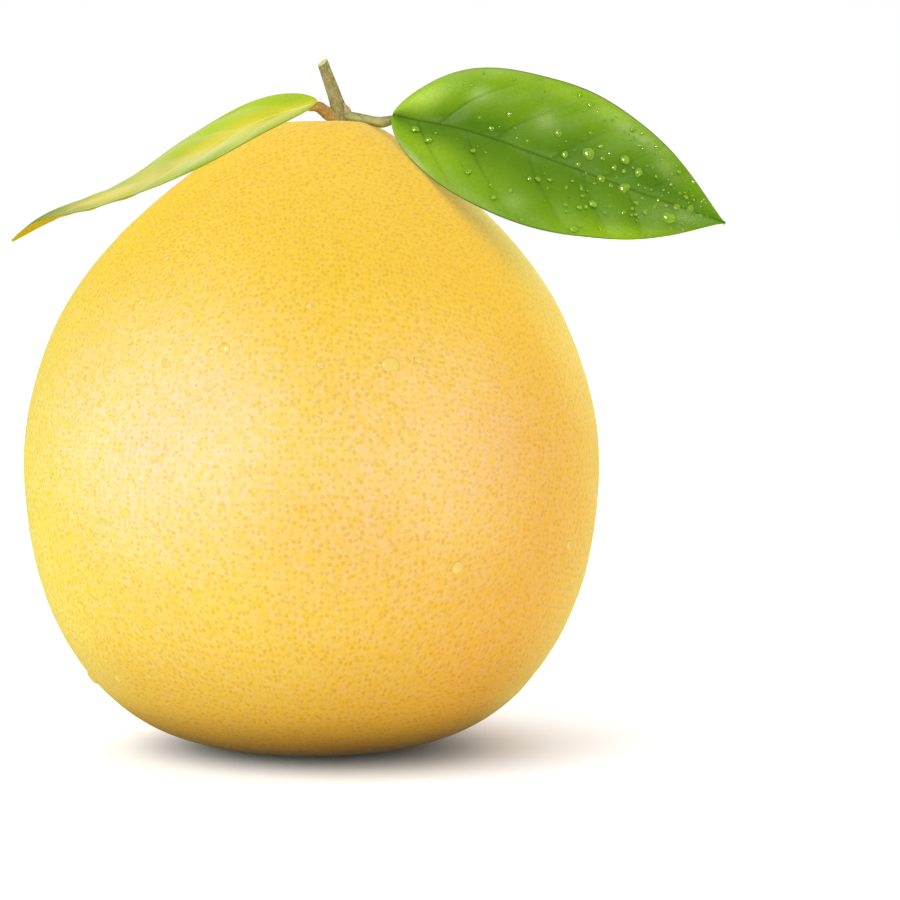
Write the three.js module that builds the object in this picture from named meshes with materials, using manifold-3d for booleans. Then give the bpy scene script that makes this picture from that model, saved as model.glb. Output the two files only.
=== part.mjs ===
// A pomelo as picked: the whole fruit, standing on its blossom end, with the cut twig
// still in the crown and two leaves on it. One leaf spreads out in front of the right
// shoulder and the other lies over the left one.
//
// Millimetres, +Z up. The origin is the middle of the small flat spot that the fruit
// rests on, and +X runs towards the leaf that spreads.

import * as THREE from "three";
import { mergeVertices } from "three/addons/utils/BufferGeometryUtils.js";
import Module from "manifold-3d";

const wasm = await Module();
wasm.setup();

// ---- driving dimensions -------------------------------------------------------------

const FRUIT = {
  radius: 79.9, // at its widest
  girthHeight: 80.2, // where it is widest
  domeHeight: 180.1, // the neck's dome, before the dimple is taken out of it
  baseBelow: 0.6, // how far the round base would reach below the flat spot
  neckFall: 1.92, // how late the upper half starts to fall in
  neckTaper: 0.784, // how pointed the neck is: 0.5 is an ellipse
  baseFall: 2.0,
  baseTaper: 0.327, // below 0.5, so the base is blunt
  shoulder: { height: 128.6, swell: 1.3, reach: 20.6 },
  dimpleDepth: 6.9,
  dimpleRadius: 9.2,
  leanFrom: 100, // the height where the neck starts to lean
  lean: 2.6, // how far the crown stands to the right
  lobes: [
    { count: 2, size: 0.7, turn: 1.4 }, // slightly oval in plan
    { count: 3, size: 0.6, turn: 1.9 },
    { count: 5, size: 0.35, turn: 1.8 },
  ],
  // Faint furrows run down from the stalk; they start a little way out from it.
  furrows: { count: 7, depth: 0.55, turn: 0.4, unevenness: 0.5, start: 12, reach: 34 },
};
const FRUIT_ROUND = 64; // facets round the fruit
const FRUIT_RINGS = 42; // facets from the base to the crown

const GAP = 0.35; // clearance between pieces that touch

const TWIG = {
  path: [
    [8.2, 0.6, 173.0],
    [7.8, 0.9, 176.6],
    [6.5, 1.4, 181.0],
    [4.8, 2.0, 185.8],
    [2.9, 2.6, 190.9],
  ],
  footRadius: 2.25,
  tipRadius: 1.5,
  cutSlope: 0.6, // the tip was snipped at a slant
  cutTurn: 0.5, // which way the slant faces, in radians round the twig
  length: 19,
  node: { height: 4.5, swell: 0.35, reach: 3 }, // thicker where the leaf stalks leave it
  calyx: { radius: 4.8, height: 1.6, lobes: 5, lobeDepth: 0.13 },
  rings: 24,
  sides: 20,
};
const BUD = { at: [9.6, 0.1, 177.5], radius: 1.25, length: 2.3, lean: 0.34, sides: 12, rings: 8 };
const STALK_RINGS = 12;
const STALK_SIDES = 12;

// The outline of a blade is a power curve of the way along it, scaled to a full width of 1.
const BLADE = {
  thickness: 0.7,
  base: 0.58, // the smaller, the rounder the base
  late: 1.84, // how far out the narrowing starts
  tip: 1.14, // the larger, the longer the point
  full: 2.139,
  narrowBase: 0.9, // half width where the stalk comes in
  narrowTip: 0.35,
  ribAtTip: 0.25, // how far the rib still stands out below at the tip
  flatRib: 0.04, // how far out from the midrib the fold starts
  sidesOutOfStep: 1.3, // between the waves of the two halves, in radians
  rows: 34,
  crowding: 1.35, // the rows are closer together near the base
  columns: 10,
};

// A leaf's stops are equally spaced from its base to its tip. Roll turns the blade about
// its midrib, fold lifts both halves towards the upper face, both in degrees, and curl
// turns the margins down, as a share of the half width. The stalk's stops run from the
// twig to just inside the blade.
const LEAF_RIGHT = {
  midrib: [
    [22.6, -7.9, 176.0],
    [41.0, -13.1, 172.1],
    [59.4, -16.9, 165.9],
    [77.8, -20.0, 159.2],
    [95.6, -22.8, 152.5],
    [112.9, -25.6, 146.4],
  ],
  halfWidth: 24.6,
  roll: [-59, -59, -55, -55, -62, -64],
  fold: [11, 14, 9, 8, 7, 6],
  curl: [0.1, 0.1, 0.06, 0.04, 0.03, 0.02],
  wave: { size: 0.5, count: 2.6, turn: 0.8 },
  ribDepth: 1.3,
  stalk: [
    [9.8, 0.6, 175.9],
    [13.4, -1.6, 175.3],
    [17.0, -4.5, 174.5],
    [20.0, -6.6, 174.2],
    [24.0, -7.7, 175.3],
  ],
  stalkRadii: [1.6, 1.45, 1.35, 1.5, 1.0],
};
const LEAF_LEFT = {
  midrib: [
    [1.6, -0.8, 180.1],
    [-16.0, -1.2, 174.0],
    [-33.4, -1.4, 165.0],
    [-50.4, -1.4, 156.0],
    [-67.4, -1.4, 150.0],
    [-83.6, -1.6, 141.6],
  ],
  halfWidth: 22.5,
  roll: [22, 19, 14, 10, 8, 3],
  fold: [12, 7, 5, 4, 4, 32],
  curl: [0.05, 0.05, 0.05, 0.04, 0.03, 0.02],
  wave: { size: 0.3, count: 2.2, turn: 0.2 },
  ribDepth: 1.1,
  stalk: [
    [6.9, 0.4, 174.9],
    [5.2, 0.0, 176.1],
    [3.5, -0.4, 177.5],
    [1.7, -0.8, 178.5],
    [-1.0, -1.0, 178.2],
  ],
  stalkRadii: [1.85, 1.75, 1.65, 1.45, 0.9],
};

const COLOURS = {
  fruit: { color: "#f6cf55", roughness: 0.42, metalness: 0 },
  stem: { color: "#9f915e", roughness: 0.75, metalness: 0 },
  leaf_right: { color: "#6d9504", roughness: 0.3, metalness: 0 },
  leaf_left: { color: "#c1cf2d", roughness: 0.38, metalness: 0 },
};

// ---- small helpers ------------------------------------------------------------------

/** The value at u, 0 to 1, of a Catmull-Rom curve through equally spaced numbers. */
function along(stops, u) {
  const last = stops.length - 1;
  const x = THREE.MathUtils.clamp(u, 0, 1) * last;
  const i = Math.min(Math.floor(x), last - 1);
  const t = x - i;
  const before = i > 0 ? stops[i - 1] : 2 * stops[0] - stops[1];
  const after = i < last - 1 ? stops[i + 2] : 2 * stops[last] - stops[last - 1];
  const slope0 = (stops[i + 1] - before) / 2;
  const slope1 = (after - stops[i]) / 2;
  const rise = stops[i + 1] - stops[i];
  const square = 3 * rise - 2 * slope0 - slope1;
  const cube = slope0 + slope1 - 2 * rise;
  return stops[i] + t * (slope0 + t * (square + t * cube));
}

/** The point at u of a curve through equally spaced points. */
function pointAlong(points, u) {
  const axis = (k) => along(points.map((p) => p[k]), u);
  return new THREE.Vector3(axis(0), axis(1), axis(2));
}

/** The direction of that curve at u. */
function directionAlong(points, u) {
  const step = 1e-3;
  const ahead = pointAlong(points, Math.min(u + step, 1));
  return ahead.sub(pointAlong(points, Math.max(u - step, 0))).normalize();
}

/** A geometry of a list of points and a list of corner indices. */
function geometryOf(points, corners) {
  const geometry = new THREE.BufferGeometry().setFromPoints(points);
  geometry.setIndex(corners);
  return geometry;
}

/** The two triangles of the quad a, b, c, d, which is counted anticlockwise from outside. */
function quad(corners, a, b, c, d) {
  corners.push(a, b, c, a, c, d);
}

/** A closed geometry as a solid that can be joined and cut. */
function solidOf(geometry) {
  const bare = geometry.clone();
  bare.deleteAttribute("normal");
  bare.deleteAttribute("uv");
  const merged = mergeVertices(bare, 1e-3);
  const mesh = new wasm.Mesh({
    numProp: 3,
    vertProperties: new Float32Array(merged.attributes.position.array),
    triVerts: new Uint32Array(merged.index.array),
  });
  return new wasm.Manifold(mesh);
}

/** A solid as a geometry again. */
function geometryFrom(solid) {
  const mesh = solid.getMesh();
  const geometry = new THREE.BufferGeometry();
  geometry.setAttribute("position", new THREE.BufferAttribute(mesh.vertProperties, 3));
  geometry.setIndex(new THREE.BufferAttribute(mesh.triVerts, 1));
  return geometry;
}

/** A named mesh in its own colour. */
function pieceOf(name, geometry) {
  geometry.computeVertexNormals();
  const mesh = new THREE.Mesh(geometry, new THREE.MeshStandardMaterial(COLOURS[name]));
  mesh.name = name;
  return mesh;
}

// ---- the fruit ----------------------------------------------------------------------

/** The fruit's radius and height at a latitude in radians, before lobes and furrows. */
function fruitProfile(latitude) {
  const sine = Math.sin(latitude);
  const upper = sine > 0;
  const fall = upper ? FRUIT.neckFall : FRUIT.baseFall;
  const taper = upper ? FRUIT.neckTaper : FRUIT.baseTaper;
  const inside = Math.max(1 - Math.abs(sine) ** fall, 0);
  const radius = FRUIT.radius * inside ** taper;
  const reach = upper ? FRUIT.domeHeight - FRUIT.girthHeight : FRUIT.girthHeight + FRUIT.baseBelow;
  const dimple = upper ? FRUIT.dimpleDepth * Math.exp(-((radius / FRUIT.dimpleRadius) ** 2)) : 0;
  const height = FRUIT.girthHeight + reach * sine;
  const { swell } = FRUIT.shoulder;
  const fromShoulder = (height - FRUIT.shoulder.height) / FRUIT.shoulder.reach;
  return { radius: radius + swell * Math.exp(-(fromShoulder ** 2)), height: height - dimple };
}

/** How deep the furrows round the stalk are at a latitude and a bearing. */
function furrowDepth(latitude, bearing, radius) {
  if (latitude <= 0) return 0;
  const { count, depth, turn, unevenness, start, reach } = FRUIT.furrows;
  const nearStalk = Math.exp(-((radius / reach) ** 2)) * Math.min(radius / start, 1);
  const phase = count * bearing + turn + unevenness * Math.sin(bearing);
  return depth * nearStalk * (1 - Math.cos(phase));
}

/** A point of the skin at a latitude and a bearing, moved outwards by grow. */
function fruitPoint(latitude, bearing, grow) {
  const { radius, height } = fruitProfile(latitude);
  const girth = radius / FRUIT.radius;
  let out = radius + grow * Math.cos(latitude);
  for (const lobe of FRUIT.lobes) {
    out += lobe.size * girth * Math.cos(lobe.count * bearing + lobe.turn);
  }
  out -= furrowDepth(latitude, bearing, radius);
  const rise = THREE.MathUtils.clamp(
    (height - FRUIT.leanFrom) / (FRUIT.domeHeight - FRUIT.leanFrom), 0, 1);
  return new THREE.Vector3(
    FRUIT.lean * rise ** 2 + out * Math.cos(bearing),
    out * Math.sin(bearing),
    height + grow * Math.sin(latitude),
  );
}

/** The whole skin, closed by a flat spot below and a point in the dimple above. */
function fruitGeometry(grow = 0) {
  const reach = FRUIT.girthHeight + FRUIT.baseBelow;
  const lowest = -Math.asin(FRUIT.girthHeight / reach);
  const points = [];
  for (let ring = 0; ring < FRUIT_RINGS; ring++) {
    const latitude = THREE.MathUtils.lerp(lowest, Math.PI / 2, ring / FRUIT_RINGS);
    for (let k = 0; k < FRUIT_ROUND; k++) {
      points.push(fruitPoint(latitude, (2 * Math.PI * k) / FRUIT_ROUND, grow));
    }
  }
  const foot = points.push(new THREE.Vector3(0, 0, points[0].z)) - 1;
  const crown = points.push(fruitPoint(Math.PI / 2, 0, grow)) - 1;
  const corners = [];
  for (let k = 0; k < FRUIT_ROUND; k++) {
    const next = (k + 1) % FRUIT_ROUND;
    corners.push(foot, next, k);
    for (let ring = 0; ring < FRUIT_RINGS - 1; ring++) {
      const low = ring * FRUIT_ROUND;
      quad(corners, low + k, low + next, low + next + FRUIT_ROUND, low + k + FRUIT_ROUND);
    }
    const top = (FRUIT_RINGS - 1) * FRUIT_ROUND;
    corners.push(top + k, top + next, crown);
  }
  return geometryOf(points, corners);
}

// ---- the twig and the stalks --------------------------------------------------------

/** A round limb along a path, with flat ends; radius(u, bearing) gives its thickness. */
function limbGeometry(path, radius, rings, sides, cutSlope = 0) {
  const points = [];
  let across = new THREE.Vector3(0, 1, 0);
  for (let ring = 0; ring <= rings; ring++) {
    const u = ring / rings;
    const centre = pointAlong(path, u);
    const forward = directionAlong(path, u);
    across = across.addScaledVector(forward, -across.dot(forward)).normalize();
    const beside = new THREE.Vector3().crossVectors(forward, across);
    for (let k = 0; k < sides; k++) {
      const bearing = (2 * Math.PI * k) / sides;
      const r = radius(u, bearing);
      const slant = ring === rings ? cutSlope * r * Math.cos(bearing + TWIG.cutTurn) : 0;
      points.push(centre.clone()
        .addScaledVector(across, r * Math.cos(bearing))
        .addScaledVector(beside, r * Math.sin(bearing))
        .addScaledVector(forward, slant));
    }
  }
  const foot = points.push(pointAlong(path, 0)) - 1;
  const tip = points.push(pointAlong(path, 1)) - 1;
  const corners = [];
  for (let k = 0; k < sides; k++) {
    const next = (k + 1) % sides;
    corners.push(foot, next, k);
    for (let ring = 0; ring < rings; ring++) {
      const low = ring * sides;
      quad(corners, low + k, low + next, low + next + sides, low + k + sides);
    }
    corners.push(rings * sides + k, rings * sides + next, tip);
  }
  return geometryOf(points, corners);
}

/** The twig's thickness: a lobed calyx button, a swollen foot, then a slow taper. */
function twigRadius(grow) {
  return (u, bearing) => {
    const height = u * TWIG.length;
    const taper = THREE.MathUtils.lerp(TWIG.footRadius, TWIG.tipRadius, u);
    const { node, calyx } = TWIG;
    const swelling = node.swell * Math.exp(-(((height - node.height) / node.reach) ** 2));
    const lobed = 1 + calyx.lobeDepth * Math.cos(calyx.lobes * bearing);
    const button = Math.max(1 - (height / (calyx.height + grow)) ** 3, 0) ** 0.5;
    return Math.max(taper + swelling, calyx.radius * lobed * button) + grow;
  };
}

function twigSolid(grow) {
  const { path, rings, sides, cutSlope } = TWIG;
  return solidOf(limbGeometry(path, twigRadius(grow), rings, sides, cutSlope));
}

/** The pointed bud in the angle between the twig and the right leaf's stalk. */
function budSolid(grow = 0) {
  const bud = new THREE.SphereGeometry(BUD.radius + grow, BUD.sides, BUD.rings);
  bud.scale(1, 1, (BUD.length + grow) / (BUD.radius + grow));
  bud.rotateY(-BUD.lean);
  bud.translate(...BUD.at);
  return solidOf(bud);
}

/** The twig, its calyx button and its bud, all moved outwards by grow. */
function stemSolid(grow = 0) {
  return twigSolid(grow).add(budSolid(grow));
}

function stemGeometry() {
  return geometryFrom(stemSolid().subtract(solidOf(fruitGeometry(GAP))));
}

/** A leaf's stalk, from just clear of the twig to well inside the blade's base. Where it
 * lies on the crown, its underside is pressed flat. */
function stalkSolid(leaf) {
  const radius = (u) => along(leaf.stalkRadii, u);
  const stalk = limbGeometry(leaf.stalk, radius, STALK_RINGS, STALK_SIDES);
  return solidOf(stalk).subtract(stemSolid(GAP)).subtract(solidOf(fruitGeometry(GAP)));
}

// ---- the leaves ---------------------------------------------------------------------

/** A leaf's half width at u: a round base, a long middle and a pointed tip. */
function bladeHalfWidth(leaf, u) {
  const outline = BLADE.full * u ** BLADE.base * Math.max(1 - u ** BLADE.late, 0) ** BLADE.tip;
  return Math.max(leaf.halfWidth * outline, THREE.MathUtils.lerp(BLADE.narrowBase, BLADE.narrowTip, u));
}

/** The blade's middle surface at u along it and v across it, from -1 to 1. */
function bladePoint(leaf, u, v) {
  const centre = pointAlong(leaf.midrib, u);
  const forward = directionAlong(leaf.midrib, u);
  const flat = new THREE.Vector3().crossVectors(forward, new THREE.Vector3(0, 0, 1)).normalize();
  const up = new THREE.Vector3().crossVectors(flat, forward);
  const roll = THREE.MathUtils.degToRad(along(leaf.roll, u));
  const side = flat.clone().multiplyScalar(Math.cos(roll)).addScaledVector(up, Math.sin(roll));
  const normal = up.multiplyScalar(Math.cos(roll)).addScaledVector(flat, -Math.sin(roll));
  const halfWidth = bladeHalfWidth(leaf, u);
  const fold = THREE.MathUtils.degToRad(along(leaf.fold, u));
  const spread = Math.abs(v);
  const raised = Math.sin(fold) * Math.max(spread - BLADE.flatRib, 0);
  const lift = raised - along(leaf.curl, u) * spread ** 3;
  const { size, count, turn } = leaf.wave;
  const phase = 2 * Math.PI * count * u + turn + BLADE.sidesOutOfStep * Math.sign(v);
  const ripple = size * spread ** 2 * Math.sin(phase);
  const fade = Math.min(halfWidth / leaf.halfWidth, 1);
  return centre
    .addScaledVector(side, halfWidth * Math.cos(fold) * v)
    .addScaledVector(normal, halfWidth * lift + ripple * fade);
}

/** The blade's upward direction at u and v. */
function bladeNormal(leaf, u, v) {
  const step = 1e-3;
  const low = THREE.MathUtils.clamp(u, step, 1 - step);
  const forward = bladePoint(leaf, low + step, v).sub(bladePoint(leaf, low - step, v));
  const across = bladePoint(leaf, low, v + step).sub(bladePoint(leaf, low, v - step));
  return across.cross(forward).normalize();
}

/** A thin blade with a ridge under its midrib, split alike on both faces. */
function bladeGeometry(leaf) {
  const wide = BLADE.columns + 1;
  const points = [];
  for (const face of [1, -1]) {
    for (let row = 0; row <= BLADE.rows; row++) {
      const u = (row / BLADE.rows) ** BLADE.crowding;
      for (let column = 0; column < wide; column++) {
        const v = (2 * column) / BLADE.columns - 1;
        const rib = face < 0 && v === 0 ? leaf.ribDepth * (1 - u) + BLADE.ribAtTip * u : 0;
        points.push(bladePoint(leaf, u, v)
          .addScaledVector(bladeNormal(leaf, u, v), face * (BLADE.thickness / 2 + rib)));
      }
    }
  }
  const under = points.length / 2;
  const corners = [];
  for (let row = 0; row < BLADE.rows; row++) {
    const low = row * wide;
    const high = low + wide;
    for (let k = 0; k < BLADE.columns; k++) {
      quad(corners, low + k, low + k + 1, high + k + 1, high + k);
      corners.push(under + low + k, under + high + k + 1, under + low + k + 1);
      corners.push(under + low + k, under + high + k, under + high + k + 1);
    }
    const edge = BLADE.columns;
    quad(corners, low + edge, under + low + edge, under + high + edge, high + edge);
    quad(corners, low, high, under + high, under + low);
  }
  const last = BLADE.rows * wide;
  for (let k = 0; k < BLADE.columns; k++) {
    quad(corners, k, under + k, under + k + 1, k + 1);
    quad(corners, last + k, last + k + 1, under + last + k + 1, under + last + k);
  }
  return geometryOf(points, corners);
}

function leafGeometry(leaf) {
  return geometryFrom(solidOf(bladeGeometry(leaf)).add(stalkSolid(leaf)));
}

// ---- the pomelo ---------------------------------------------------------------------

const pomelo = new THREE.Group();
pomelo.add(pieceOf("fruit", fruitGeometry()));
pomelo.add(pieceOf("stem", stemGeometry()));
pomelo.add(pieceOf("leaf_right", leafGeometry(LEAF_RIGHT)));
pomelo.add(pieceOf("leaf_left", leafGeometry(LEAF_LEFT)));

export default pomelo;
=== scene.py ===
import math
import random

import bpy
import numpy as np
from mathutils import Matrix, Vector, noise


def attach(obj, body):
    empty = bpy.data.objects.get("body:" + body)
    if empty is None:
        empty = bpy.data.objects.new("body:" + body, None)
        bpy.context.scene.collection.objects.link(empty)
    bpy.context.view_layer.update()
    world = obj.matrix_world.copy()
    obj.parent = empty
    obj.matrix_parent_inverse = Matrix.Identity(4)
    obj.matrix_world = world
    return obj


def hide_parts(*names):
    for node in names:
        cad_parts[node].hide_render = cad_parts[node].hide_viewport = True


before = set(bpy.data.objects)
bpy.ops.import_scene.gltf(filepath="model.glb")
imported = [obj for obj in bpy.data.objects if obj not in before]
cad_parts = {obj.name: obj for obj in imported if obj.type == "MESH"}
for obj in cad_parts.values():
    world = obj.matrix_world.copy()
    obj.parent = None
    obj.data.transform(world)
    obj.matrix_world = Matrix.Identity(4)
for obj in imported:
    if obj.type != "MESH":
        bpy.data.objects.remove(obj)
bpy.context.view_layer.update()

# A picked pomelo, standing on its blossom end, with the cut twig in its crown and two
# leaves on it. Shapes are worked out in millimetres, with the same formulas and values
# as in the part's source, only finer, and MM turns them to metres as a mesh is made.

MM = 0.001
NEARBY = 1e-3  # how far apart two places are taken, to find the direction between them
FAR = 1e3  # stands for the way to a vein that is on the other half of its blade

# ---- driving dimensions, in millimetres and degrees ----

FRUIT = {
    "radius": 79.9, "girth_height": 80.2, "dome_height": 180.1, "base_below": 0.6,
    "neck_fall": 1.92, "neck_taper": 0.784, "base_fall": 2.0, "base_taper": 0.327,
    "dimple_depth": 6.9, "dimple_radius": 9.2, "lean_from": 100, "lean": 2.6,
}
SHOULDER = {"height": 128.6, "swell": 1.3, "reach": 20.6}
LOBES = [  # count round the fruit, size, turn
    (2, 0.7, 1.4),
    (3, 0.6, 1.9),
    (5, 0.35, 1.8),
]
FURROWS = {"count": 7, "depth": 0.55, "turn": 0.4, "unevenness": 0.5, "start": 12, "reach": 34}
PEEL_ROUND = 420
PEEL_RINGS = 218
PEEL_FOOT_RINGS = 12
PEEL_SWELLS = [  # width and height of the skin's soft unevenness
    (34.0, 0.42),
    (13.0, 0.13),
    (4.6, 0.055),
]
EVEN_BELOW = 9  # the unevenness dies out from this height down to the flat spot
# The glands' pitch is laid on as on a ball of that reach round that middle, from six sides.
GLANDS = {"pitch": 1.9, "reach": 84, "middle": 86, "flatten": 0.93, "apart": 100}
BLOSSOM_SCAR = {"radius": 3.2, "depth": 0.5}

TWIG = {
    "path": [(8.2, 0.6, 173.0), (7.8, 0.9, 176.6), (6.5, 1.4, 181.0),
             (4.8, 2.0, 185.8), (2.9, 2.6, 190.9)],
    "foot_radius": 2.25, "tip_radius": 1.5, "cut_slope": 0.6, "cut_turn": 0.5, "cut_from": 0.8,
    "length": 19, "rings": 120, "sides": 56,
}
TWIG_NODE = {"height": 4.5, "swell": 0.35, "reach": 3}
CALYX = {"radius": 4.8, "height": 1.6, "lobes": 5, "lobe_depth": 0.13}
TWIG_CUT = [  # rings of the cut face: their share of its width, and how far each is sunk
    (0.93, 0.0), (0.86, 0.1), (0.55, 0.06), (0.22, 0.14),
]
PITH_SUNK = 0.16
BARK_RIDGES = {"count": 9, "height": 0.055, "wander": 0.5, "wander_over": 2}
BARK_GRAIN = {"height": 0.09, "width": 0.9, "radius": 2.2, "drawn_out": 5}
BUD = {
    "at": (9.6, 0.1, 177.5), "radius": 1.25, "length": 2.3, "lean": 0.34, "rings": 30, "sides": 30,
    "narrowing": 0.35, "fullness": 1.12, "scales": 3, "scale_height": 0.07, "spiral": 9,
}

BLADE = {  # base, late and tip shape its outline, and full brings that to the half width
    "thickness": 0.5, "base": 0.58, "late": 1.84, "tip": 1.14, "full": 2.139,
    "narrow_base": 0.9, "narrow_tip": 0.35, "flat_rib": 0.04, "sides_out_of_step": 1.3,
    "rows": 230, "columns": 96, "crowding": 1.35,
}
COLUMN_SPREAD = (0.3, 1.9, -1.2)  # powers of the way out: columns crowd at the midrib and the margin
EDGE_ROUNDNESS = 14
FLAT_MARGIN = 0.88  # veins and crumples die out from here to the margin
CRUMPLES = [  # shift of the noise, how wide the crumples are, how high
    (40, 7.0, 0.16),
    (90, 17.0, 0.42),
]
RIB = {"width": 0.95, "at_tip": 0.25, "groove": 0.16, "groove_width": 0.42, "groove_fade": 0.6,
       "line": 0.3, "line_fade": 0.35}
SIDE_VEIN = {
    "slope": 0.58, "bend": 0.0146, "width": 0.34, "depth": 0.1,
    "fade": 0.75, "fading": (0.35, 0.97), "tip_fade": 0.6,
}
QUILT = {"depth": 0.4, "width": 2.8, "from_rib": (0.3, 3), "full_where": 12}  # hollows along the side veins

LEAF_RIGHT = {
    "midrib": [(22.6, -7.9, 176.0), (41.0, -13.1, 172.1), (59.4, -16.9, 165.9),
               (77.8, -20.0, 159.2), (95.6, -22.8, 152.5), (112.9, -25.6, 146.4)],
    "half_width": 24.6,
    "roll": (-59, -59, -55, -55, -62, -64),
    "fold": (11, 14, 9, 8, 7, 6),
    "curl": (0.1, 0.1, 0.06, 0.04, 0.03, 0.02),
    "wave": {"size": 0.5, "count": 2.6, "turn": 0.8},
    "rib_depth": 1.3,
    "length": 96.7,
    "veins_low": (0.075, 0.22, 0.40, 0.56, 0.70, 0.83),  # where they leave the midrib
    "veins_high": (0.14, 0.30, 0.47, 0.62, 0.75, 0.87),
    "side_veins_show": 0.6, "tipward_from": (0.0, 1.0),
    "bloom": [  # soft pale patches of painted sheen: along, across, their spread in both, strength
        (0.22, -0.55, 0.028, 0.13, 0.26), (0.41, -0.45, 0.03, 0.12, 0.2), (0.08, -0.6, 0.05, 0.3, 0.1),
        (0.09, 1.0, 0.09, 0.12, 0.4), (0.30, 0.95, 0.10, 0.10, 0.12), (0.43, 0.74, 0.035, 0.12, 0.13),
        (0.66, -0.82, 0.10, 0.13, 0.2), (0.78, -0.66, 0.04, 0.2, 0.12), (0.86, 0.34, 0.06, 0.25, 0.16),
        (0.22, -0.95, 0.10, 0.10, 0.12),
    ],
    # Brighter yellow-green patches of painted light, in the same columns.
    "lime": [(0.06, -0.62, 0.07, 0.40, 0.7), (0.5, -0.9, 0.3, 0.14, 0.3), (0.15, 0.7, 0.1, 0.4, 0.25),
             (0.72, 0.9, 0.15, 0.2, 0.45)],
    "deep": [(0.28, -0.12, 0.07, 0.14, 0.5), (0.76, -0.28, 0.11, 0.22, 0.6), (0.48, 0.5, 0.12, 0.3, 0.25),
             (0.5, -0.3, 0.05, 0.2, 0.3)],
    "stalk": [(9.8, 0.6, 175.9), (13.4, -1.6, 175.3), (17.0, -4.5, 174.5),
              (20.0, -6.6, 174.2), (24.0, -7.7, 175.3)],
    "stalk_radii": (1.6, 1.45, 1.35, 1.5, 1.0),
}
LEAF_LEFT = {
    "midrib": [(1.6, -0.8, 180.1), (-16.0, -1.2, 174.0), (-33.4, -1.4, 165.0),
               (-50.4, -1.4, 156.0), (-67.4, -1.4, 150.0), (-83.6, -1.6, 141.6)],
    "half_width": 22.5,
    "roll": (22, 19, 14, 10, 8, 3),
    "fold": (12, 7, 5, 4, 4, 32),
    "curl": (0.05, 0.05, 0.05, 0.04, 0.03, 0.02),
    "wave": {"size": 0.3, "count": 2.2, "turn": 0.2},
    "rib_depth": 1.1,
    "length": 93.5,
    "veins_low": (0.09, 0.24, 0.39, 0.54, 0.68, 0.81),
    "veins_high": (0.13, 0.29, 0.45, 0.60, 0.74, 0.86),
    "side_veins_show": 0.14, "tipward_from": (0.72, 0.9),
    # Painted sheen, painted light and darker green patches, as on the right leaf.
    "bloom": [(0.36, -0.5, 0.2, 0.26, 0.4), (0.62, 0.2, 0.12, 0.3, 0.25), (0.5, 0.85, 0.12, 0.15, 0.2),
              (0.05, -0.1, 0.05, 0.2, 0.15)],
    "lime": [(0.3, 0.62, 0.2, 0.3, 0.6)],
    "deep": [(0.25, -1.0, 0.3, 0.1, 0.45)],
    "stalk": [(6.9, 0.4, 174.9), (5.2, 0.0, 176.1), (3.5, -0.4, 177.5),
              (1.7, -0.8, 178.5), (-1.0, -1.0, 178.2)],
    "stalk_radii": (1.85, 1.75, 1.65, 1.45, 0.9),
}
STALK_RINGS = 90
STALK_SIDES = 36
STALK_GRAIN = {"crowding": 1.6, "shift": 3, "drawn_out": 4}

DROP_ROUND = 22
DROP_RINGS = 7
ACROSS_DROPS = (0.3, 0.2, 0.9)  # a direction that no bead stands in
DROP_OVAL = 0.1
DROP_THREE_SIDED = 0.05
DROP_FOOT = 0.12  # how far a bead's foot is sunk into the surface
DROP_HEIGHTS = (0.84, 1.16)  # the least and the most, as a share of its usual height
LEAF_DROPS = [  # along and across the right leaf, then radius: the large ones
    (0.56, -0.24, 1.75), (0.69, 0.02, 1.55), (0.84, 0.42, 1.9), (0.71, -0.30, 1.2),
    (0.66, -0.38, 1.3), (0.46, -0.34, 1.1), (0.50, -0.12, 1.0), (0.62, 0.02, 1.15),
    (0.63, 0.45, 1.15), (0.85, 0.05, 1.0), (0.89, -0.05, 1.1), (0.28, 0.62, 1.0),
    (0.08, 0.30, 1.1), (0.13, 0.42, 0.95), (0.61, 0.90, 1.2), (0.51, -0.83, 0.9),
]
SMALL_DROPS = {  # radius is the least, and room is how far apart, as a share of both radii
    "count": 190, "tries": 5000, "from_tip": 0.34, "along": (0.05, 0.96), "across": (-0.9, 0.94),
    "radius": 0.26, "larger_by": 0.56, "room": 1.3,
}
PEEL_DROPS = [  # height, bearing from the front to the right, radius
    (110, -29, 1.5), (113, -19, 1.2), (114, -16, 1.5), (124, -17, 1.0),
    (110, 18, 2.2), (111, 24, 1.1), (57, 31, 1.6), (110, 4, 1.0), (96, 3.5, 1.0),
    (125, 1.5, 0.9), (137, -40, 1.1), (24, -53, 1.4), (21, -75, 2.2), (60, 62, 1.3),
    (140, 170, 1.4), (96, 150, 1.7), (84, 205, 1.2), (70, 118, 1.5),
]

# Metres and degrees, but the lens in millimetres.
CAMERA = {"target": (0.03837, 0.0, 0.083), "distance": 0.9, "elevation": 4.0, "lens": 128.57}
FLOOR_REACH = 40.0
ROOM_LIGHT = 0.73  # how bright the white room is where it lights the fruit
ROOM_GLOSS = 0.1  # and where it shows in a gloss
WHITE = (1.0, 1.0, 1.0)
SOFTBOXES = [  # the way to each from the fruit, its strength, and how wide it looks in degrees
    ("top_softbox", (0.0, 0.0, 1.0), 0.88, 90),
    ("left_softbox", (-0.6, -0.5, 0.6), 0.3, 80),
    ("right_softbox", (0.7, -0.6, 0.2), 0.1, 80),
    ("backdrop", (-0.1, 1.0, 0.25), 1.9, 150),  # on all but the rind
]
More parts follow.
